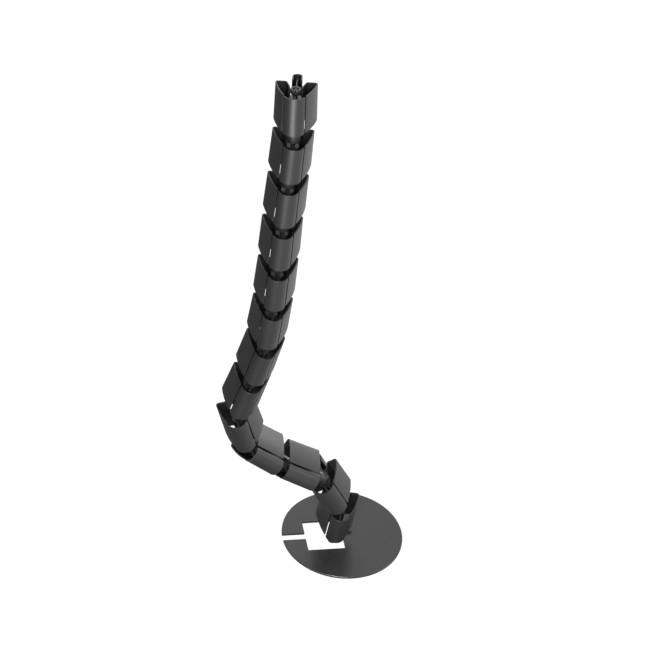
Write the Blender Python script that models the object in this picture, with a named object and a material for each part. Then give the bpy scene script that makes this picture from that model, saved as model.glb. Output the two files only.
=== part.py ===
"""Upright cable spine: thirteen snap-together links on a round steel foot. Metres, +Z up."""
import math

import bmesh
import bpy
from mathutils import Matrix, Vector

# Clearances
GAP = 0.0003                # between pieces that touch
BALL_PLAY = 0.0003          # between a ball and the cup around it

# Round foot plate, standing on four rubber feet
PLATE_RADIUS = 0.100
PLATE_THICK = 0.004
PLATE_EDGE = 0.0004         # small bevel on the plate's edges
CUT_X = (-0.062, 0.0)       # cut-out, left and right edges
CUT_Y = (-0.033, 0.033)     # cut-out, front and rear edges
SLIT_Y = (-0.007, 0.007)    # straight slit from the cut-out to the rim
FOOT_RADIUS = 0.009
FOOT_THICK = 0.0025
FOOT_REACH = 0.082          # feet from the plate's centre
FOOT_ANGLES = (45, 135, 225, 315)

# Link: one moulding, 78 mm from ball to ball
PITCH = 0.078
RIM_OVER_BALL = 0.001       # rim above the centre of the link's own ball
SHELL_HEIGHT = 0.0585       # front shell, from rim to lower edge
WALL = 0.002
FLARE = 0.035               # the shells grow this much wider from rim to lower edge
FRONT_REACH = 0.033
FRONT_LOBE = 0.016          # radius of the front shell
FRONT_HALF_ANGLE = 72
LOBE_START = (0.0169, -0.018)     # front end of a side lobe, beside the slit
LOBE_BULGE = 0.0018               # bulge of its long outer wall
LOBE_CORNER = (0.0263, 0.0242)    # centre of its rounded rear corner
LOBE_CORNER_RADIUS = 0.0045
LOBE_CORNER_FROM = -9
LOBE_TURN = ((0.0165, 0.0287), (0.0136, 0.0268))
LOBE_END = (0.0066, 0.0062)       # where the wall comes back into the hub
LOBE_DIP = (0.68, 0.86)           # on the way back its top drops between these shares
TAB_REACH = 0.054
TAB_LOBE = 0.0075           # radius of the narrow rear tab
TAB_ARM = 0.0125            # straight arms of the tab
REAR_LIFT = 0.015           # tab ends this much above the front shell's lower edge
WEB_DROP = 0.004            # webs end below the rim
WEB_LIFT = 0.003            # webs end above the shell's lower edge

# Ball and cup joint
BALL_RADIUS = 0.0082
BALL_TOP = 0.0045           # flat top of the ball above its centre
NECK_RADIUS = 0.0032
BORE_RADIUS = 0.0046        # ring-shaped recess in the ball
PEG_RADIUS = 0.0019         # peg left standing in the recess
PEG_TOP = 0.0025
RECESS_FLOOR = -0.0025
SLOT_WIDTH = 0.0012         # lets the ball spring
CUP_RADIUS = BALL_RADIUS + BALL_PLAY
CUP_LIP = 0.0032            # lip below the ball's centre
HUB_RADIUS = 0.0098
CORE_RADIUS = 0.0076        # hollow core of the hub
SHOULDER = 0.0108           # hub's shoulder below the ball's centre
CORE_ROOF = 0.0027          # wall between core and neck

# Foot bracket: screwed to the plate, its arm carries the lowest ball over the cut-out
STAND_HEIGHT = 0.012        # lowest ball above the plate's top
STAND_AT = (-0.0185, -0.0105)
STAND_YAW = -10.5
BOSS_RADIUS = 0.007
ARM_Y = (-0.009, 0.009)
ARM_SINK = 0.0026           # arm reaches down into the cut-out
BRIDGE_THICK = 0.0025
PAD_X = (0.0025, 0.0160)
PAD_Y = (0.0015, 0.0270)
PAD_THICK = 0.0035
SCREW_X = 0.0095
SCREW_Y = (0.0075, 0.0210)
SCREW_RADIUS = 0.0019
SCREW_HEAD = 0.0036
SCREW_HEAD_THICK = 0.0022
SCREW_SOCKET = 0.0014
SCREW_HOLE = SCREW_RADIUS + GAP

# Rest pose, from the lowest link up: front-back bend, side bend, twist, in degrees
REST_POSE = (
    (9, 4, 1),
    (0, -31.5, 12),
    (-5, -32, 6),
    (7, 9.5, -3.5),
    (2, 31.5, -12),
    (-1, 31.5, -8),
    (0.5, -2, 1),
    (-1.5, -7.5, 1),
    (-1.5, -2.5, 0.5),
    (-1.5, -1, 0.5),
    (-2, 1, -0.5),
    (-1, -0.5, 0),
    (-6, -3.5, -4.5),
)

# Worked out from the sizes above
FRONT_CENTRE = -(FRONT_REACH - FRONT_LOBE)
TAB_CENTRE = TAB_REACH - TAB_LOBE
RIM = PITCH + RIM_OVER_BALL
LOW_EDGE = RIM - SHELL_HEIGHT
STEP = PITCH - SHOULDER - 0.001
PLATE_BOTTOM = FOOT_THICK + GAP
PLATE_TOP = PLATE_BOTTOM + PLATE_THICK
PAD_BOTTOM = PLATE_TOP + GAP
BALL_ZERO = PLATE_TOP + STAND_HEIGHT

ROUND = 12                  # sides of the hub and ball
FINE = 72                   # sides of the plate's rim


def clear_scene():
    for thing in list(bpy.data.objects):
        bpy.data.objects.remove(thing, do_unlink=True)


def material(name, colour, roughness, metallic=0.0):
    mat = bpy.data.materials.new(name)
    mat.use_nodes = True
    shader = mat.node_tree.nodes["Principled BSDF"]
    shader.inputs["Base Color"].default_value = (*colour, 1.0)
    shader.inputs["Roughness"].default_value = roughness
    shader.inputs["Metallic"].default_value = metallic
    mat.diffuse_color = (*colour, 1.0)
    return mat


def solid(name, bm):
    """Makes an object of a closed bmesh, with its faces turned outwards."""
    bmesh.ops.remove_doubles(bm, verts=bm.verts, dist=1e-7)
    bmesh.ops.recalc_face_normals(bm, faces=bm.faces)
    mesh = bpy.data.meshes.new(name)
    bm.to_mesh(mesh)
    bm.free()
    thing = bpy.data.objects.new(name, mesh)
    bpy.context.scene.collection.objects.link(thing)
    return thing


def box(name, x, y, z):
    bm = bmesh.new()
    corners = [bm.verts.new((i, j, k)) for k in z for j in y for i in x]
    for face in ((0, 1, 3, 2), (4, 5, 7, 6), (0, 1, 5, 4), (2, 3, 7, 6), (0, 2, 6, 4), (1, 3, 7, 5)):
        bm.faces.new([corners[i] for i in face])
    return solid(name, bm)


def lathe(name, profile, sides, centre=(0.0, 0.0), turn=0.0):
    """Turns a closed profile of (radius, height) points about the vertical axis."""
    bm = bmesh.new()
    rings = []
    for radius, height in profile:
        if radius < 1e-9:
            rings.append([bm.verts.new((centre[0], centre[1], height))])
            continue
        ring = []
        for k in range(sides):
            angle = turn + math.tau * k / sides
            x = centre[0] + radius * math.cos(angle)
            y = centre[1] + radius * math.sin(angle)
            ring.append(bm.verts.new((x, y, height)))
        rings.append(ring)
    for low, high in zip(rings, rings[1:]):
        for k in range(sides):
            quad = [low[k % len(low)], low[(k + 1) % len(low)],
                    high[(k + 1) % len(high)], high[k % len(high)]]
            corners = list(dict.fromkeys(quad))
            if len(corners) > 2:
                bm.faces.new(corners)
    return solid(name, bm)


def strip(name, outer, inner, tops, low):
    """A wall that follows two plan curves, with its own top at each station. It flares downwards."""
    bm = bmesh.new()
    stations = []
    for (ox, oy), (ix, iy), top in zip(outer, inner, tops):
        station = []
        for x, y, z in ((ox, oy, top), (ix, iy, top), (ix, iy, low), (ox, oy, low)):
            grow = 1 + FLARE * (RIM - z) / SHELL_HEIGHT
            station.append(bm.verts.new((x * grow, y * grow, z)))
        stations.append(station)
    for one, two in zip(stations, stations[1:]):
        for k in range(4):
            m = (k + 1) % 4
            bm.faces.new((one[k], one[m], two[m], two[k]))
    bm.faces.new(stations[0])
    bm.faces.new(stations[-1])
    return solid(name, bm)


def plate_web(name, points, mid):
    """A flat web, WALL thick. Its outline is given as (reach, height), and mid turns it about the axis."""
    bm = bmesh.new()
    across = Vector((-mid.y, mid.x, 0)) * (WALL / 2)
    sides = []
    for sign in (-1, 1):
        sides.append([bm.verts.new(mid * reach + Vector((0, 0, height)) + across * sign)
                      for reach, height in points])
    count = len(points)
    bm.faces.new(sides[0])
    bm.faces.new(sides[1])
    for k in range(count):
        m = (k + 1) % count
        bm.faces.new((sides[0][k], sides[0][m], sides[1][m], sides[1][k]))
    return solid(name, bm)


def combine(target, tool, how):
    """Applies one Boolean and removes the tool."""
    step = target.modifiers.new("step", "BOOLEAN")
    step.operation = how
    step.solver = "EXACT"
    step.object = tool
    graph = bpy.context.evaluated_depsgraph_get()
    result = bpy.data.meshes.new_from_object(target.evaluated_get(graph))
    target.modifiers.clear()
    old = target.data
    target.data = result
    bpy.data.meshes.remove(old)
    bpy.data.objects.remove(tool, do_unlink=True)


def arc(centre, radius, start, end, steps):
    points = []
    for k in range(steps + 1):
        angle = math.radians(start + (end - start) * k / steps)
        points.append((centre[0] + radius * math.cos(angle), centre[1] + radius * math.sin(angle)))
    return points


def offset(path, distance):
    """The same path, moved to its left by the distance."""
    moved = []
    for k, here in enumerate(path):
        near = [path[k - 1], here] if k else [here, path[1]]
        far = [here, path[k + 1]] if k + 1 < len(path) else near
        normals = []
        for start, end in (near, far):
            way = (Vector(end) - Vector(start)).normalized()
            normals.append(Vector((-way.y, way.x)))
        mean = (normals[0] + normals[1]).normalized()
        moved.append(tuple(Vector(here) + mean * (distance / mean.dot(normals[0]))))
    return moved


def front_shell():
    outer = arc((0, FRONT_CENTRE), FRONT_LOBE, 270 - FRONT_HALF_ANGLE, 270 + FRONT_HALF_ANGLE, 8)
    return strip("front_shell", outer, offset(outer, WALL), [RIM] * len(outer), LOW_EDGE)


def side_lobe(side):
    """A wall from the front slit round the rear corner and back to the hub, open only at the slit."""
    corner = arc(LOBE_CORNER, LOBE_CORNER_RADIUS, LOBE_CORNER_FROM, 90, 3)
    start = Vector(LOBE_START)
    span = Vector(corner[0]) - start
    out = Vector((span.y, -span.x)).normalized() * LOBE_BULGE
    path = [tuple(start + span * t + out * 4 * t * (1 - t)) for t in (0, 0.25, 0.5, 0.75)]
    path += corner + list(LOBE_TURN)
    tops = [RIM] * len(path)
    back = Vector(LOBE_END) - Vector(LOBE_TURN[1])
    for share, top in zip((*LOBE_DIP, 1), (RIM, STEP, STEP)):
        path.append(tuple(Vector(LOBE_TURN[1]) + back * share))
        tops.append(top)
    outer = [(x * side, y) for x, y in path]
    inner = [(x * side, y) for x, y in offset(path, WALL)]
    return strip("side_lobe", outer, inner, tops, LOW_EDGE)


def rear_tab():
    arm = TAB_CENTRE - TAB_ARM
    outer = [(TAB_LOBE, arm)] + arc((0, TAB_CENTRE), TAB_LOBE, 0, 180, 6) + [(-TAB_LOBE, arm)]
    return strip("rear_tab", outer, offset(outer, WALL), [RIM] * len(outer), LOW_EDGE + REAR_LIFT)


def cup_points(base):
    """Inside of a cup, from its core up to down at the lip. Its flats keep clear of the ball."""
    top = math.asin(CORE_RADIUS / CUP_RADIUS)
    end = math.pi - math.acos(CUP_LIP / CUP_RADIUS)
    step = (end - top) / 3
    flats = CUP_RADIUS / math.cos(math.pi / ROUND) / math.cos(step / 2)
    points = []
    for k in range(4):
        angle = top + step * k
        points.append((flats * math.sin(angle), base + flats * math.cos(angle)))
    return points


def ball_points(centre):
    """Ball from the neck up, with its flat top, ring-shaped recess and peg."""
    low = math.pi - math.asin(NECK_RADIUS / BALL_RADIUS)
    high = math.acos(BALL_TOP / BALL_RADIUS)
    points = []
    for k in range(5):
        angle = low + (high - low) * k / 4
        points.append((BALL_RADIUS * math.sin(angle), centre + BALL_RADIUS * math.cos(angle)))
    points += [
        (BORE_RADIUS, centre + BALL_TOP),
        (BORE_RADIUS, centre + RECESS_FLOOR),
        (PEG_RADIUS, centre + RECESS_FLOOR),
        (PEG_RADIUS, centre + PEG_TOP),
        (0.0, centre + PEG_TOP),
    ]
    return points


def slot_ball(thing, centre, at=(0.0, 0.0)):
    """Saws the ball's wall open at front and rear."""
    for near, far in ((-BALL_RADIUS * 1.2, -BORE_RADIUS * 0.9), (BORE_RADIUS * 0.9, BALL_RADIUS * 1.2)):
        saw = box("saw", (at[0] - SLOT_WIDTH / 2, at[0] + SLOT_WIDTH / 2), (at[1] + near, at[1] + far),
                  (centre + RECESS_FLOOR / 2, centre + BALL_RADIUS))
        combine(thing, saw, "DIFFERENCE")


def link_mesh():
    """One link, with the centre of its cup at the origin and its own ball PITCH above."""
    profile = [(0.0, PITCH - SHOULDER - CORE_ROOF), (CORE_RADIUS, PITCH - SHOULDER - CORE_ROOF)]
    profile += cup_points(0.0)
    profile += [(HUB_RADIUS, -CUP_LIP), (HUB_RADIUS, PITCH - SHOULDER), (NECK_RADIUS, PITCH - SHOULDER)]
    profile += ball_points(PITCH)
    link = lathe("link", profile, ROUND, turn=math.pi / ROUND)

    hold = (CORE_RADIUS + HUB_RADIUS) / 2
    clear = HUB_RADIUS + 0.0012
    top = RIM - WEB_DROP
    half = WALL / 2
    webs = (
        (Vector((0, -1, 0)), FRONT_REACH - half, LOW_EDGE + WEB_LIFT),
        (Vector((0, 1, 0)), TAB_REACH - half, LOW_EDGE + REAR_LIFT + WEB_LIFT),
    )
    pieces = [front_shell(), side_lobe(1), side_lobe(-1), rear_tab()]
    for way, reach, low in webs:
        outline = ((hold, low), (reach, low), (reach, top), (clear, top), (clear, STEP), (hold, STEP))
        pieces.append(plate_web("web", outline, way))
    for piece in pieces:
        combine(link, piece, "UNION")
    slot_ball(link, PITCH)

    mesh = link.data.copy()
    bpy.data.objects.remove(link, do_unlink=True)
    return mesh


def rest_places():
    """Places of the links at rest, from the lowest up."""
    place = Matrix.Translation((STAND_AT[0], STAND_AT[1], BALL_ZERO))
    place @= Matrix.Rotation(math.radians(STAND_YAW), 4, "Z")
    places = []
    for lean, bend, twist in REST_POSE:
        place = place @ Matrix.Rotation(math.radians(lean), 4, "X")
        place = place @ Matrix.Rotation(math.radians(bend), 4, "Y")
        place = place @ Matrix.Rotation(math.radians(twist), 4, "Z")
        places.append(place.copy())
        place = place @ Matrix.Translation((0, 0, PITCH))
    return places


def links(plastic):
    pattern = link_mesh()
    for number, place in enumerate(rest_places(), start=1):
        mesh = pattern.copy()
        mesh.transform(place)
        name = f"link_{number:02d}"
        mesh.name = name
        thing = bpy.data.objects.new(name, mesh)
        bpy.context.scene.collection.objects.link(thing)
        mesh.materials.clear()
        mesh.materials.append(plastic)
    bpy.data.meshes.remove(pattern)


def foot_plate(steel):
    low = PLATE_BOTTOM
    high = PLATE_TOP
    edge = PLATE_EDGE
    profile = [(0.0, low), (PLATE_RADIUS - edge, low), (PLATE_RADIUS, low + edge),
               (PLATE_RADIUS, high - edge), (PLATE_RADIUS - edge, high), (0.0, high)]
    plate = lathe("foot_plate", profile, FINE)
    deep = (low - PLATE_THICK, high + PLATE_THICK)
    combine(plate, box("cut", CUT_X, CUT_Y, deep), "DIFFERENCE")
    slit = box("slit", (-PLATE_RADIUS * 1.1, sum(CUT_X) / 2), SLIT_Y, deep)
    combine(plate, slit, "DIFFERENCE")
    for y in SCREW_Y:
        hole = lathe("hole", [(0.0, deep[0]), (SCREW_HOLE, deep[0]), (SCREW_HOLE, deep[1]), (0.0, deep[1])],
                     16, (SCREW_X, y))
        combine(plate, hole, "DIFFERENCE")
    plate.data.materials.append(steel)


def foot_bracket(plastic):
    """Pad on the plate, bridge over its edge, arm in the cut-out and the lowest ball on its neck."""
    arm_top = BALL_ZERO - SHOULDER
    arm_low = PLATE_TOP - ARM_SINK
    pad_top = PAD_BOTTOM + PAD_THICK
    bracket = box("foot_bracket", PAD_X, PAD_Y, (PAD_BOTTOM, pad_top))
    bridge = box("bridge", (STAND_AT[0] / 2, PAD_X[0] + WALL), (PAD_Y[0] + WALL / 4, ARM_Y[1] - WALL / 4),
                 (PAD_BOTTOM, PAD_BOTTOM + BRIDGE_THICK))
    combine(bracket, bridge, "UNION")
    combine(bracket, box("arm", (STAND_AT[0], CUT_X[1] - GAP), ARM_Y, (arm_low, arm_top)), "UNION")
    boss = [(0.0, arm_low - 0.0004), (BOSS_RADIUS, arm_low - 0.0004),
            (BOSS_RADIUS, arm_top - 0.0004), (0.0, arm_top - 0.0004)]
    combine(bracket, lathe("boss", boss, 24, STAND_AT), "UNION")
    stub = [(0.0, arm_low + 0.001), (NECK_RADIUS, arm_low + 0.001)] + ball_points(BALL_ZERO)
    combine(bracket, lathe("stub", stub, ROUND, STAND_AT, math.pi / ROUND), "UNION")
    slot_ball(bracket, BALL_ZERO, STAND_AT)
    for near in SCREW_Y:
        hole = lathe("hole", [(0.0, PLATE_TOP), (SCREW_HOLE, PLATE_TOP),
                              (SCREW_HOLE, pad_top * 1.5), (0.0, pad_top * 1.5)], 16, (SCREW_X, near))
        combine(bracket, hole, "DIFFERENCE")
    bracket.data.materials.clear()
    bracket.data.materials.append(plastic)


def screws(steel):
    seat = PAD_BOTTOM + PAD_THICK + GAP
    top = seat + SCREW_HEAD_THICK
    for name, y in zip(("bracket_screw_front", "bracket_screw_rear"), SCREW_Y):
        profile = [
            (0.0, PLATE_BOTTOM + GAP),
            (SCREW_RADIUS, PLATE_BOTTOM + GAP),
            (SCREW_RADIUS, seat),
            (SCREW_HEAD, seat),
            (SCREW_HEAD, top - 0.0006),
            (SCREW_HEAD - 0.0006, top),
            (SCREW_SOCKET, top),
            (SCREW_SOCKET, top - 0.0014),
            (0.0, top - 0.0014),
        ]
        screw = lathe(name, profile, 16, (SCREW_X, y))
        screw.data.materials.append(steel)


def rubber_feet(rubber):
    for number, turn in enumerate(FOOT_ANGLES, start=1):
        angle = math.radians(turn)
        centre = (FOOT_REACH * math.cos(angle), FOOT_REACH * math.sin(angle))
        profile = [(0.0, 0.0), (FOOT_RADIUS - 0.0006, 0.0), (FOOT_RADIUS, 0.0006),
                   (FOOT_RADIUS, FOOT_THICK), (0.0, FOOT_THICK)]
        foot = lathe(f"rubber_foot_{number}", profile, 24, centre)
        foot.data.materials.append(rubber)


def centre_on_floor():
    """Moves the whole part so that the middle of its box's underside is the origin."""
    things = [thing for thing in bpy.data.objects if thing.type == "MESH"]
    corners = [vert.co for thing in things for vert in thing.data.vertices]
    low = [min(c[k] for c in corners) for k in range(3)]
    high = [max(c[k] for c in corners) for k in range(3)]
    shift = Vector((-round((low[0] + high[0]) / 2, 4), -round((low[1] + high[1]) / 2, 4), 0))
    for thing in things:
        thing.data.transform(Matrix.Translation(shift))


def main():
    clear_scene()
    link_plastic = material("link_plastic", (0.030, 0.030, 0.032), 0.42)
    bracket_plastic = material("bracket_plastic", (0.022, 0.022, 0.024), 0.50)
    plate_steel = material("plate_steel", (0.075, 0.075, 0.078), 0.55, 0.1)
    screw_steel = material("screw_steel", (0.060, 0.060, 0.062), 0.35, 1.0)
    foot_rubber = material("foot_rubber", (0.015, 0.015, 0.015), 0.85)
    foot_plate(plate_steel)
    foot_bracket(bracket_plastic)
    screws(screw_steel)
    rubber_feet(foot_rubber)
    links(link_plastic)
    centre_on_floor()


main()
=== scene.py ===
# %% [markdown]
# # Cable spine on a round steel foot
# The object is a chain of thirteen moulded links that snaps together ball in cup, and stands on a
# flat steel plate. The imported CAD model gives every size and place. This notebook dresses it: finer
# links with rounded edges, real finishes, studio light and the camera of the photograph.

# %% Load the frame
import math

import bmesh
import bpy
from mathutils import Matrix, Vector


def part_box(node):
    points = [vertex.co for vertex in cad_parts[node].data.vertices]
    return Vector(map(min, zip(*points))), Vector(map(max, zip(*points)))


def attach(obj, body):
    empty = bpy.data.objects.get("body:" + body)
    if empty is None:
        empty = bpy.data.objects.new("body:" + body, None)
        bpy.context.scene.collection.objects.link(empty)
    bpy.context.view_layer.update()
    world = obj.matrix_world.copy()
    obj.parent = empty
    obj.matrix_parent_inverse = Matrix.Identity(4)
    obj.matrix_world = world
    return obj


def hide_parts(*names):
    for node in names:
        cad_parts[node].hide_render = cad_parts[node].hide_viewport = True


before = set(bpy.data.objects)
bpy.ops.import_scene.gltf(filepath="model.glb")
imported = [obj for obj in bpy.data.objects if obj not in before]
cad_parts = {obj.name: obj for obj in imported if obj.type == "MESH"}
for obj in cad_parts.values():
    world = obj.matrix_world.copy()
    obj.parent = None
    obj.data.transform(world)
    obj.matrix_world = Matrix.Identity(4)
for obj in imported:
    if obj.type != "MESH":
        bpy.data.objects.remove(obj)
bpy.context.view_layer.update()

# %% [markdown]
# ## Sizes
# The sizes below are those of the CAD model, in metres. Only the ball's flat top is lower than
# there, by 0.9 mm, to match the ring in the photograph. Heights in a link are measured from the
# centre of its cup, and its own ball is one pitch above that. The foot plate is 200 mm across, and
# its right edge is never cut, so the plate's middle is found 100 mm in from that edge.

# %% Sizes of the plate and of a link's shells
PLATE_RADIUS = 0.100
PLATE_LOW, PLATE_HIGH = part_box("foot_plate")
PLATE_AT = Vector((PLATE_HIGH.x - PLATE_RADIUS, (PLATE_LOW.y + PLATE_HIGH.y) / 2, PLATE_HIGH.z))
PITCH = 0.078
RIM_OVER_BALL = 0.001
RIM = PITCH + RIM_OVER_BALL
SHELL_HEIGHT = 0.0585
LOW_EDGE = RIM - SHELL_HEIGHT
REAR_LIFT = 0.015    # the tab ends this much above the shells' lower edge
WALL = 0.002
FLARE = 0.035        # the shells grow by this share from rim to lower edge
print("plate middle:", [round(v, 4) for v in PLATE_AT])

# %% Sizes of a link's hub, cup and ball
HUB_RADIUS = 0.0098
CORE_RADIUS = 0.0076      # the hub is hollow
CORE_ROOF = 0.0027        # wall between the hollow and the neck
SHOULDER = 0.0108         # the hub ends this much below the ball's centre
STEP_DROP = 0.001
STEP = PITCH - SHOULDER - STEP_DROP    # walls beside the neck end here, under the hub's shoulder
NECK_RADIUS = 0.0032
BALL_RADIUS = 0.0082
BALL_TOP = 0.0036         # heights on the ball, from its centre
RECESS_FLOOR = -0.0025
SAW_FLOOR = RECESS_FLOOR / 2
PEG_TOP = 0.0025
BORE_RADIUS = 0.0046
PEG_RADIUS = 0.0019
BALL_PLAY = 0.0003
CUP_RADIUS = BALL_RADIUS + BALL_PLAY
CUP_LIP = 0.0032          # the lip lies this much below the cup's centre
print("cup: %.1f mm across for a ball of %.1f mm" % (2000 * CUP_RADIUS, 2000 * BALL_RADIUS))

# %% [markdown]
# ## Where the links are
# Every ball joint of the chain holds its own angle. The table repeats the CAD model's rest pose,
# from the lowest link up: front-back bend, side bend and twist, in degrees. Each link takes its
# place from the one below it, as in the real chain.

# %% Places of the links
REST_POSE = (
    (9, 4, 1),
    (0, -31.5, 12),
    (-5, -32, 6),
    (7, 9.5, -3.5),
    (2, 31.5, -12),
    (-1, 31.5, -8),
    (0.5, -2, 1),
    (-1.5, -7.5, 1),
    (-1.5, -2.5, 0.5),
    (-1.5, -1, 0.5),
    (-2, 1, -0.5),
    (-1, -0.5, 0),
    (-6, -3.5, -4.5),
)
STAND = Vector((-0.0185, -0.0105, 0.012))    # lowest ball, from the plate's middle
STAND_YAW = -10.5


def turned(axis, degrees):
    return Matrix.Rotation(math.radians(degrees), 4, axis)


places = []
place = Matrix.Translation(PLATE_AT + STAND) @ turned("Z", STAND_YAW)
for lean, bend, twist in REST_POSE:
    place = place @ turned("X", lean) @ turned("Y", bend) @ turned("Z", twist)
    places.append(place.copy())
    place = place @ Matrix.Translation((0, 0, PITCH))
print("links:", len(places), "top ball at", [round(v, 3) for v in place.translation])

# %% [markdown]
# ## Colours and nodes
# Colours are written as sRGB hex values, as a paint chart gives them, and turned to the linear
# numbers that Blender works in. One helper adds a node, sets its values and links its inputs.


# %% Colour and node helpers
def linear(hex_colour, shade=1.0):
    """An sRGB hex colour as linear red, green, blue and alpha, darker or lighter by the shade."""
    out = []
    for k in (1, 3, 5):
        part = int(hex_colour[k:k + 2], 16) / 255
        out.append(part / 12.92 if part <= 0.04045 else ((part + 0.055) / 1.055) ** 2.4)
    return (*(c * shade for c in out), 1.0)


def node(tree, kind, settings=None, inputs=None):
    """Adds a node. A setting is one of its attributes. An input is a value, or a socket to link."""
    made = tree.nodes.new(kind)
    for name, value in (settings or {}).items():
        setattr(made, name, value)
    for name, value in (inputs or {}).items():
        if isinstance(value, bpy.types.NodeSocket):
            tree.links.new(value, made.inputs[name])
        else:
            made.inputs[name].default_value = value
    return made


def blank_material(name):
    """A material with its Principled shader, as (material, node tree, shader)."""
    made = bpy.data.materials.new(name)
    made.use_nodes = True
    return made, made.node_tree, made.node_tree.nodes["Principled BSDF"]


MOULDED_BLACK = "#1b1b1c"
print("moulded black as linear:", [round(v, 4) for v in linear(MOULDED_BLACK)[:3]])

# %% [markdown]
# ## Moulded black plastic
# The links are injection moulded in black ABS, in a steel tool with a fine spark finish. To the eye
# that is a satin black: dark, with broad soft highlights along each curved shell. A painted
# texture would need an unwrapped mesh, so noise in the object's own coordinates is used instead.
# The real grain is about 0.3 mm, too fine to see at this distance, so it is drawn at 0.6 mm as a
# faint bump. Colour and gloss also change slowly over some 40 mm, as on moulded plastic. The
# bracket is nylon from a similar mould, a little duller.

# %% Moulded plastic
MM_IN_METRE = 1000
GRAIN_MM = 0.6
GRAIN_STRENGTH = 0.12
BUMP_DEPTH = 0.00003
CLOUD_MM = 40
CLOUD_SHADE = 1.12
CLOUD_GLOSS = 0.03
PLASTIC_IOR = 1.5


def moulded_plastic(name, colour, roughness):
    mat, tree, shader = blank_material(name)
    where = node(tree, "ShaderNodeTexCoord")
    grain = node(tree, "ShaderNodeTexNoise", None, {
        "Vector": where.outputs["Object"], "Scale": MM_IN_METRE / GRAIN_MM, "Detail": 2.0})
    cloud = node(tree, "ShaderNodeTexNoise", None, {
        "Vector": where.outputs["Object"], "Scale": MM_IN_METRE / CLOUD_MM, "Detail": 1.0})
    gloss = node(tree, "ShaderNodeMapRange", None, {
        "Value": cloud.outputs["Fac"],
        "To Min": roughness - CLOUD_GLOSS, "To Max": roughness + CLOUD_GLOSS})
    tint = node(tree, "ShaderNodeMix", {"data_type": "RGBA"}, {"Factor": cloud.outputs["Fac"]})
    tint.inputs["A"].default_value = linear(colour)
    tint.inputs["B"].default_value = linear(colour, CLOUD_SHADE)
    bump = node(tree, "ShaderNodeBump", None, {
        "Height": grain.outputs["Fac"], "Strength": GRAIN_STRENGTH, "Distance": BUMP_DEPTH})
    tree.links.new(tint.outputs["Result"], shader.inputs["Base Color"])
    tree.links.new(gloss.outputs["Result"], shader.inputs["Roughness"])
    tree.links.new(bump.outputs["Normal"], shader.inputs["Normal"])
    shader.inputs["IOR"].default_value = PLASTIC_IOR
    return mat


link_plastic = moulded_plastic("satin_black_moulded_abs", MOULDED_BLACK, roughness=0.42)
bracket_plastic = moulded_plastic("black_moulded_nylon", MOULDED_BLACK, roughness=0.45)
print("materials:", link_plastic.name, bracket_plastic.name)

# %% [markdown]
# ## Powder-coated steel, blackened steel and rubber
# The foot plate is laser-cut steel under a dark grey powder coat, smooth enough to mirror the
# lowest links as a soft dark patch, with a slight orange peel about 1.5 mm across. A coat hides the
# metal, so its metallic value stays 0. The screws are blackened steel, a bare metal, and the feet
# are moulded rubber with a fine dull grain. One function makes all three, because each is an even
# colour broken by a fine grain of its own size.

# %% Plate, screw and foot finishes
PEEL_STRENGTH = 0.05
PEEL_SHADE = 0.06
PEEL_GLOSS = 0.02


def grained_finish(name, colour, roughness, grain_mm):
    mat, tree, shader = blank_material(name)
    where = node(tree, "ShaderNodeTexCoord")
    peel = node(tree, "ShaderNodeTexNoise", None, {
        "Vector": where.outputs["Object"], "Scale": MM_IN_METRE / grain_mm, "Detail": 3.0})
    gloss = node(tree, "ShaderNodeMapRange", None, {
        "Value": peel.outputs["Fac"],
        "To Min": roughness - PEEL_GLOSS, "To Max": roughness + PEEL_GLOSS})
    tint = node(tree, "ShaderNodeMix", {"data_type": "RGBA"}, {"Factor": peel.outputs["Fac"]})
    tint.inputs["A"].default_value = linear(colour, 1 - PEEL_SHADE)
    tint.inputs["B"].default_value = linear(colour, 1 + PEEL_SHADE)
    bump = node(tree, "ShaderNodeBump", None, {
        "Height": peel.outputs["Fac"], "Strength": PEEL_STRENGTH, "Distance": BUMP_DEPTH})
    tree.links.new(tint.outputs["Result"], shader.inputs["Base Color"])
    tree.links.new(gloss.outputs["Result"], shader.inputs["Roughness"])
    tree.links.new(bump.outputs["Normal"], shader.inputs["Normal"])
    return mat


plate_coat = grained_finish(
    "dark_grey_powder_coated_steel", "#2b2b2c", roughness=0.28, grain_mm=1.5)
foot_rubber = grained_finish("dull_black_moulded_rubber", "#1b1b1b", roughness=0.85, grain_mm=0.8)
screw_steel = grained_finish("blackened_steel", "#3c3c3e", roughness=0.35, grain_mm=0.4)
screw_steel.node_tree.nodes["Principled BSDF"].inputs["Metallic"].default_value = 1.0
print("materials:", plate_coat.name, foot_rubber.name, screw_steel.name)

# %% [markdown]
# ## Walls that follow a path
# A link is moulded from thin walls of one thickness. Each wall here follows a path in plan: the
# outer face is the path, and the inner face is the same path moved sideways by 2 mm. A solidify
# modifier could do that too, but a mesh made station by station also lets the top of the wall drop
# where the link above needs room to swing. All walls grow wider downwards by 3.5 percent, as a
# moulded part does so that it leaves its mould.


# %% Path and wall helpers
def arc(centre, radius, start, end, steps):
    points = []
    for k in range(steps + 1):
        angle = math.radians(start + (end - start) * k / steps)
        points.append((centre[0] + radius * math.cos(angle), centre[1] + radius * math.sin(angle)))
    return points


def offset(path, distance):
    """The same path, moved to its left by the distance."""
    moved = []
    for k, here in enumerate(path):
        near = [path[k - 1], here] if k else [here, path[1]]
        far = [here, path[k + 1]] if k + 1 < len(path) else near
        normals = []
        for start, end in (near, far):
            way = (Vector(end) - Vector(start)).normalized()
            normals.append(Vector((-way.y, way.x)))
        mean = (normals[0] + normals[1]).normalized()
        moved.append(tuple(Vector(here) + mean * (distance / mean.dot(normals[0]))))
    return moved


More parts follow.
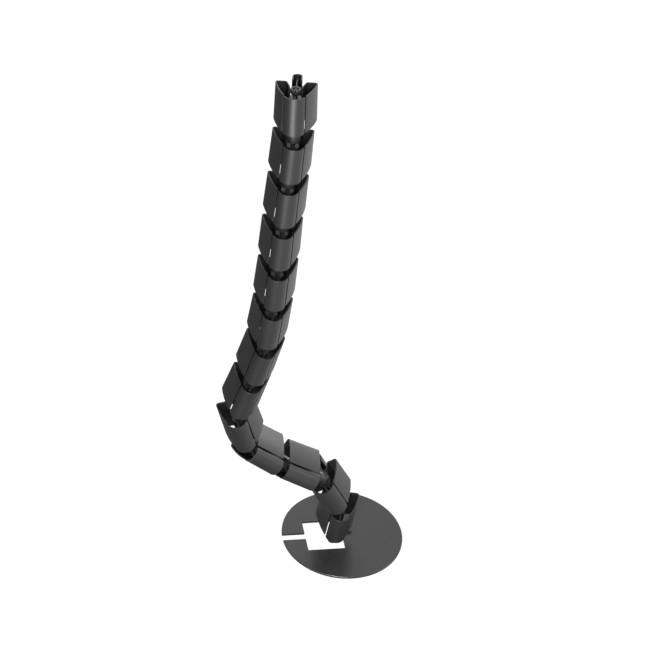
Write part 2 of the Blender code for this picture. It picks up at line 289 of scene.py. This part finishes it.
def join_stations(bm, stations):
    """Skins a row of closed sections and closes both ends."""
    for one, two in zip(stations, stations[1:]):
        count = len(one)
        for k in range(count):
            m = (k + 1) % count
            bm.faces.new((one[k], one[m], two[m], two[k]))
    bm.faces.new(stations[0])
    bm.faces.new(stations[-1])


def add_wall(bm, outer, inner, tops, low):
    """Sweeps the wall's section along both paths, with its own top at each station."""
    stations = []
    for (ox, oy), (ix, iy), top in zip(outer, inner, tops):
        station = []
        for x, y, z in ((ox, oy, top), (ix, iy, top), (ix, iy, low), (ox, oy, low)):
            grow = 1 + FLARE * (RIM - z) / SHELL_HEIGHT
            station.append(bm.verts.new((x * grow, y * grow, z)))
        stations.append(station)
    join_stations(bm, stations)


print("wall helpers ready")

# %% [markdown]
# ## Turned shapes and flat webs
# A hub is round, so its mesh is one profile turned about the upright axis, as on a lathe. Where
# only a part of the turn is wanted, a closed profile is set up station by station, and both ends
# get a face. A web is a flat outline with the wall's thickness.


# %% Turning and web helpers
def add_part_turn(bm, profile, start, end, steps):
    """Turns a closed profile from one angle to another about the upright axis."""
    stations = []
    for x, y in arc((0.0, 0.0), 1.0, start, end, steps):
        section = [(radius * x, radius * y, height) for radius, height in profile]
        stations.append([bm.verts.new(point) for point in section])
    join_stations(bm, stations)


def add_turned(bm, profile, sides):
    """Turns a profile of (radius, height) points about the upright axis."""
    rings = []
    for radius, height in profile:
        count = sides if radius else 1
        rings.append([bm.verts.new((radius * math.cos(math.tau * k / sides),
                                    radius * math.sin(math.tau * k / sides), height))
                      for k in range(count)])
    for low, high in zip(rings, rings[1:]):
        for k in range(sides):
            corners = [low[k % len(low)], low[(k + 1) % len(low)],
                       high[(k + 1) % len(high)], high[k % len(high)]]
            corners = list(dict.fromkeys(corners))
            if len(corners) > 2:
                bm.faces.new(corners)


def add_slab(bm, outline, way):
    """A flat web of the wall's thickness. Its outline is (reach, height), and way turns it."""
    across = Vector((-way.y, way.x, 0)) * (WALL / 2)
    faces = []
    for sign in (-1, 1):
        faces.append([bm.verts.new(way * reach + Vector((0, 0, height)) + across * sign)
                      for reach, height in outline])
    join_stations(bm, faces)


print("turning and web helpers ready")

# %% [markdown]
# ## The shells of a link
# Seen from above, a link is a round front shell, a closed lobe on each side, and a narrow tab at
# the rear. Each lobe is one wall: it starts beside the front shell, bulges slightly on its way to
# the rounded rear corner, and comes back to the hub. The slit between front shell and lobe lets a
# cable be pushed in. The long wall is nearly straight and the arcs are not, so the arcs get the
# closer stations.

# %% Shells
FRONT_CENTRE = (0.0, -0.017)
FRONT_RADIUS = 0.016
FRONT_HALF_ANGLE = 72
FRONT_STEPS = 28
LOBE_START = (0.0169, -0.018)
LOBE_BULGE = 0.0018
LOBE_SIDE_STEPS = 16
LOBE_CORNER = (0.0263, 0.0242)
LOBE_CORNER_RADIUS = 0.0045
LOBE_CORNER_FROM, LOBE_CORNER_TO = -9, 90
LOBE_CORNER_STEPS = 12
LOBE_TURN = ((0.0165, 0.0287), (0.0148, 0.0282), (0.0136, 0.0268))
LOBE_END = (0.0066, 0.0062)
LOBE_RETURN = ((0.68, RIM), (0.86, STEP), (1, STEP))    # share of the way back, and the wall's top
TAB_RADIUS = 0.0075
TAB_CENTRE = (0.0, 0.0465)
TAB_ARM = 0.0125
TAB_STEPS = 20


def lobe_path():
    """Outer face of the right lobe in plan, and the wall's top at each point."""
    corner = arc(LOBE_CORNER, LOBE_CORNER_RADIUS,
                 LOBE_CORNER_FROM, LOBE_CORNER_TO, LOBE_CORNER_STEPS)
    start = Vector(LOBE_START)
    span = Vector(corner[0]) - start
    bulge = Vector((span.y, -span.x)).normalized() * LOBE_BULGE
    path = []
    for k in range(LOBE_SIDE_STEPS):
        share = k / LOBE_SIDE_STEPS
        path.append(tuple(start + span * share + bulge * (4 * share) * (1 - share)))
    path += corner + list(LOBE_TURN)
    tops = [RIM] * len(path)
    back = Vector(LOBE_END) - Vector(LOBE_TURN[-1])
    for share, top in LOBE_RETURN:
        path.append(tuple(Vector(LOBE_TURN[-1]) + back * share))
        tops.append(top)
    return path, tops


def add_shells(bm):
    start, end = 270 - FRONT_HALF_ANGLE, 270 + FRONT_HALF_ANGLE
    outer = arc(FRONT_CENTRE, FRONT_RADIUS, start, end, FRONT_STEPS)
    add_wall(bm, outer, offset(outer, WALL), [RIM] * len(outer), LOW_EDGE)
    path, tops = lobe_path()
    for side in (1, -1):
        outer = [(x * side, y) for x, y in path]
        inner = [(x * side, y) for x, y in offset(path, WALL)]
        add_wall(bm, outer, inner, tops, LOW_EDGE)
    arm = TAB_CENTRE[1] - TAB_ARM
    bow = arc(TAB_CENTRE, TAB_RADIUS, 0, 180, TAB_STEPS)
    outer = [(TAB_RADIUS, arm)] + bow + [(-TAB_RADIUS, arm)]
    add_wall(bm, outer, offset(outer, WALL), [RIM] * len(outer), LOW_EDGE + REAR_LIFT)


widest = max(x for x, y in lobe_path()[0])
print("link across its lobes: %.1f mm at the rim" % (2000 * widest))

# %% [markdown]
# ## The hub of a link
# The hub is a hollow post. Its lower end is a cup with a lip that snaps over the ball of the link
# below. Its upper end is a neck and a ball, with a ring-shaped recess around a peg and a slot sawn
# through the wall at front and rear, so that the ball can spring. Turning one profile gives the
# peg and the hub up to the floor of the slots. Above it the wall is turned as two halves, which is
# cleaner than cutting the slots with a Boolean.

# %% Hub
BALL_STEPS = 8
HUB_SIDES = 48
SPRING_STEPS = 24
SLOT_HALF_ANGLE = 6


def ball_points(from_angle, top):
    """The ball's outer face, from an angle down from its pole up to a height."""
    to_angle = math.acos(top / BALL_RADIUS)
    points = []
    for k in range(BALL_STEPS + 1):
        angle = from_angle + (to_angle - from_angle) * k / BALL_STEPS
        points.append((BALL_RADIUS * math.sin(angle), PITCH + BALL_RADIUS * math.cos(angle)))
    return points


def hub_profile():
    """From the hollow's roof down through the cup, up the outside and over the ball to its peg."""
    roof = PITCH - SHOULDER - CORE_ROOF
    profile = [(0.0, roof), (CORE_RADIUS, roof)]
    start = math.asin(CORE_RADIUS / CUP_RADIUS)
    end = math.pi - math.acos(CUP_LIP / CUP_RADIUS)
    for k in range(BALL_STEPS + 1):
        angle = start + (end - start) * k / BALL_STEPS
        profile.append((CUP_RADIUS * math.sin(angle), CUP_RADIUS * math.cos(angle)))
    profile += [
        (HUB_RADIUS, -CUP_LIP),
        (HUB_RADIUS, PITCH - SHOULDER),
        (NECK_RADIUS, PITCH - SHOULDER),
    ]
    profile += ball_points(math.pi - math.asin(NECK_RADIUS / BALL_RADIUS), SAW_FLOOR)
    profile += [
        (BORE_RADIUS, PITCH + SAW_FLOOR),
        (BORE_RADIUS, PITCH + RECESS_FLOOR),
        (PEG_RADIUS, PITCH + RECESS_FLOOR),
        (PEG_RADIUS, PITCH + PEG_TOP),
        (0.0, PITCH + PEG_TOP),
    ]
    return profile


def add_springs(bm):
    """The two halves of the ball's upper wall, with the sawn slots between them."""
    profile = ball_points(math.acos(SAW_FLOOR / BALL_RADIUS), BALL_TOP)
    profile += [(BORE_RADIUS, PITCH + BALL_TOP), (BORE_RADIUS, PITCH + SAW_FLOOR)]
    for middle in (0, 180):
        start, end = middle - 90 + SLOT_HALF_ANGLE, middle + 90 - SLOT_HALF_ANGLE
        add_part_turn(bm, profile, start, end, SPRING_STEPS)


print("points in the hub's profile:", len(hub_profile()))

# %% [markdown]
# ## The whole link
# Two webs tie the front shell and the tab to the hub. They drop to the hub's shoulder around the
# neck, to leave room for the cup above. Then all parts go into one mesh, with sharp corners kept
# sharp. They overlap slightly where they meet. A Boolean union could merge them, but the overlap
# doesn't show, and the edges stay clean without it.

# %% Webs and the whole link
WEB_DROP = 0.004     # the webs end below the rim
WEB_LIFT = 0.003     # and above the shells' lower edge
WEB_ROOT = 0.001     # they start inside the hub's wall
WEB_CLEAR = 0.0012   # and keep this far from the cup above
FRONT_WEB_REACH = 0.032
REAR_WEB_REACH = 0.053
SHARP_ANGLE = 35


def add_webs(bm):
    hold = HUB_RADIUS - WEB_ROOT
    clear = HUB_RADIUS + WEB_CLEAR
    top = RIM - WEB_DROP
    webs = (
        (Vector((0, -1, 0)), FRONT_WEB_REACH, LOW_EDGE + WEB_LIFT),
        (Vector((0, 1, 0)), REAR_WEB_REACH, LOW_EDGE + REAR_LIFT + WEB_LIFT),
    )
    for way, reach, low in webs:
        outline = ((hold, low), (reach, low), (reach, top),
                   (clear, top), (clear, STEP), (hold, STEP))
        add_slab(bm, outline, way)


link_bm = bmesh.new()
add_shells(link_bm)
add_webs(link_bm)
add_turned(link_bm, hub_profile(), HUB_SIDES)
add_springs(link_bm)
bmesh.ops.recalc_face_normals(link_bm, faces=link_bm.faces)
link_mesh = bpy.data.meshes.new("link")
link_bm.to_mesh(link_mesh)
link_bm.free()
link_mesh.shade_smooth()
link_mesh.set_sharp_from_angle(angle=math.radians(SHARP_ANGLE))
link_mesh.materials.append(link_plastic)
print("faces in one link:", len(link_mesh.polygons))

# %% [markdown]
# ## Thirteen links
# One mould makes all thirteen, so all are copies of one mesh. Each copy is moved to its place in
# the chain before it becomes an object, because a box along a turned object's own axes would come
# out too large. It rides on its CAD body, and a small bevel rounds the moulded edges.

# %% Place the links
EDGE_ROUNDING = 0.00035
EDGE_SEGMENTS = 2
EDGE_ANGLE = 50

for number, place in enumerate(places, start=1):
    name = f"link_{number:02d}"
    placed_mesh = link_mesh.copy()
    placed_mesh.transform(place)
    piece = bpy.data.objects.new("dressed_" + name, placed_mesh)
    bpy.context.scene.collection.objects.link(piece)
    edge = piece.modifiers.new("moulded_edge", "BEVEL")
    edge.width = EDGE_ROUNDING
    edge.segments = EDGE_SEGMENTS
    edge.limit_method = "ANGLE"
    edge.angle_limit = math.radians(EDGE_ANGLE)
    edge.harden_normals = True
    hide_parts(name)
    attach(piece, name)
print("placed", len(places), "links")

# %% [markdown]
# ## The foot
# The foot is a laser-cut plate on four rubber feet, with a moulded bracket screwed on. Its pieces
# could be modelled again with rounded edges, as the links are. They are flat or nearly hidden, so
# they keep the CAD model's shapes and only get their finishes here.

# %% Finish the foot
FINISHES = {
    "foot_plate": plate_coat,
    "foot_bracket": bracket_plastic,
    "bracket_screw_front": screw_steel,
    "bracket_screw_rear": screw_steel,
}
for name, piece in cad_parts.items():
    if name.startswith("link_"):
        continue
    finish = FINISHES.get(name, foot_rubber)
    piece.data.materials.clear()
    piece.data.materials.append(finish)
    print(name, "->", finish.name)

# %% [markdown]
# ## Floor
# The photograph has a white background with no visible shadow, and its black plastic shows what
# stands around it: soft highlights down the front shells, dark lobes at the left and light ones at
# the right. So the floor glows white for the camera and still takes a faint shadow. In glossy
# surfaces it glows on the right only, as if lit from there. Its own colour is grey, which keeps the
# left lobes dark.

# %% Floor
FLOOR_HALF = 6.0
FLOOR_GREY = "#707070"
FLOOR_ROUGHNESS = 0.9
CAMERA_GLOW = 0.92
RIGHT_GLOW = 0.8
GLOW_FROM, GLOW_TO = -0.2, 0.45    # in glossy surfaces the glow grows between these places in x

floor_mesh = bpy.data.meshes.new("floor")
corners = [(x * FLOOR_HALF, y * FLOOR_HALF, 0) for x, y in ((-1, -1), (1, -1), (1, 1), (-1, 1))]
floor_mesh.from_pydata(corners, [], [(0, 1, 2, 3)])
floor = bpy.data.objects.new("floor", floor_mesh)
bpy.context.scene.collection.objects.link(floor)
floor_paint, tree, shader = blank_material("pale_studio_floor")
shader.inputs["Base Color"].default_value = linear(FLOOR_GREY)
shader.inputs["Roughness"].default_value = FLOOR_ROUGHNESS
shader.inputs["Emission Color"].default_value = (1, 1, 1, 1)
path = node(tree, "ShaderNodeLightPath")
to_camera = node(tree, "ShaderNodeMath", {"operation": "MULTIPLY"}, {
    0: path.outputs["Is Camera Ray"], 1: CAMERA_GLOW})
where = node(tree, "ShaderNodeTexCoord")
split = node(tree, "ShaderNodeSeparateXYZ", None, {"Vector": where.outputs["Object"]})
lit_side = node(tree, "ShaderNodeMapRange", {"interpolation_type": "SMOOTHSTEP"}, {
    "Value": split.outputs["X"],
    "From Min": GLOW_FROM, "From Max": GLOW_TO, "To Min": 0.0, "To Max": RIGHT_GLOW})
to_gloss = node(tree, "ShaderNodeMath", {"operation": "MULTIPLY"}, {
    0: path.outputs["Is Glossy Ray"], 1: lit_side.outputs["Result"]})
glow = node(tree, "ShaderNodeMath", {"operation": "ADD"}, {
    0: to_camera.outputs["Value"], 1: to_gloss.outputs["Value"]})
tree.links.new(glow.outputs["Value"], shader.inputs["Emission Strength"])
floor_mesh.materials.append(floor_paint)
print("floor:", 2 * FLOOR_HALF, "m square")

# %% [markdown]
# ## Room and lamps
# The room around the object is white to the camera and in glossy surfaces, and gives almost no
# light of its own, so that the lamps shape the plastic. The two strong lamps in front make the
# highlights of the front shells. Four weak ones at the right and behind lift the right-hand lobes,
# the plate and the rear.

# %% Room
ROOM_FILL = 0.06
scene = bpy.context.scene
world = bpy.data.worlds.new("white_room")
scene.world = world
world.use_nodes = True
room = world.node_tree
back = room.nodes["Background"]
back.inputs["Color"].default_value = (1, 1, 1, 1)
path = node(room, "ShaderNodeLightPath")
camera_or_gloss = node(room, "ShaderNodeMath", {"operation": "MAXIMUM"}, {
    0: path.outputs["Is Camera Ray"], 1: path.outputs["Is Glossy Ray"]})
seen = node(room, "ShaderNodeMath", {"operation": "MAXIMUM"}, {
    0: camera_or_gloss.outputs["Value"], 1: path.outputs["Is Transmission Ray"]})
level = node(room, "ShaderNodeMapRange", None, {
    "Value": seen.outputs["Value"], "To Min": ROOM_FILL, "To Max": 1.0})
room.links.new(level.outputs["Result"], back.inputs["Strength"])
print("room:", world.name)

# %% Lamps
# Name, place, aimed at, width and height in metres, power in watts.
LAMPS = (
    ("camera_side_softbox", (-0.5, -2.2, 2.2), (0.0, 0.0, 0.8), (0.9, 0.7), 72),
    ("wide_front_softbox", (-0.95, -2.3, 0.8), (0.0, 0.0, 0.7), (1.3, 1.5), 78),
    ("right_front_softbox", (2.2, -0.8, 1.3), (0.0, 0.0, 0.5), (0.9, 1.4), 12),
    ("right_softbox", (2.15, 1.1, 0.8), (0.0, 0.0, 0.35), (0.8, 0.5), 11),
    ("low_right_back_softbox", (1.2, 1.9, 0.35), (0.0, 0.0, 0.6), (0.9, 0.6), 13),
    ("back_softbox", (0.0, 2.6, 1.6), (0.0, 0.0, 0.5), (1.6, 1.2), 9),
)


def add_lamp(name, location, target, size, power):
    light = bpy.data.lights.new(name, "AREA")
    light.shape = "RECTANGLE"
    light.size, light.size_y = size
    light.energy = power
    made = bpy.data.objects.new(name, light)
    made.location = location
    made.rotation_euler = (Vector(target) - Vector(location)).to_track_quat("-Z", "Y").to_euler()
    scene.collection.objects.link(made)


for row in LAMPS:
    add_lamp(*row)

# %% [markdown]
# ## Camera
# The camera was found by fitting the plate's rim, its cut-out and the links of the photograph. It
# looks down about 41 degrees from about five metres, through a long lens, rolled slightly.

# %% Camera
FRAME_PX = 650
SENSOR_MM = 36
FOCAL_PX = 3088
DISTANCE = 5.094
ELEVATION, ROLL = math.radians(40.57), math.radians(6.94)
TURN_DEGREES = -14.43
ASIDE, ALOFT = 0.0696, -0.3384    # the plate's middle, from the middle of the picture

across = turned("Z", TURN_DEGREES).to_3x3()
look = across @ Vector((0, math.cos(ELEVATION), -math.sin(ELEVATION)))
right = across @ Vector((1, 0, 0))
above = right.cross(look)
spot = PLATE_AT - look * DISTANCE - right * ASIDE - above * ALOFT
side_axis = right * math.cos(ROLL) + above * math.sin(ROLL)
up_axis = above * math.cos(ROLL) - right * math.sin(ROLL)
camera_data = bpy.data.cameras.new("camera")
camera_data.sensor_width = SENSOR_MM
camera_data.lens = SENSOR_MM * FOCAL_PX / FRAME_PX
camera_data.clip_start, camera_data.clip_end = 0.1, 30
camera = bpy.data.objects.new("camera", camera_data)
scene.collection.objects.link(camera)
camera.matrix_world = Matrix((
    (side_axis.x, up_axis.x, -look.x, spot.x),
    (side_axis.y, up_axis.y, -look.y, spot.y),
    (side_axis.z, up_axis.z, -look.z, spot.z),
    (0, 0, 0, 1),
))
scene.camera = camera
scene.view_settings.view_transform = "Standard"
print("camera at", [round(v, 2) for v in spot], "lens %.0f mm" % camera_data.lens)
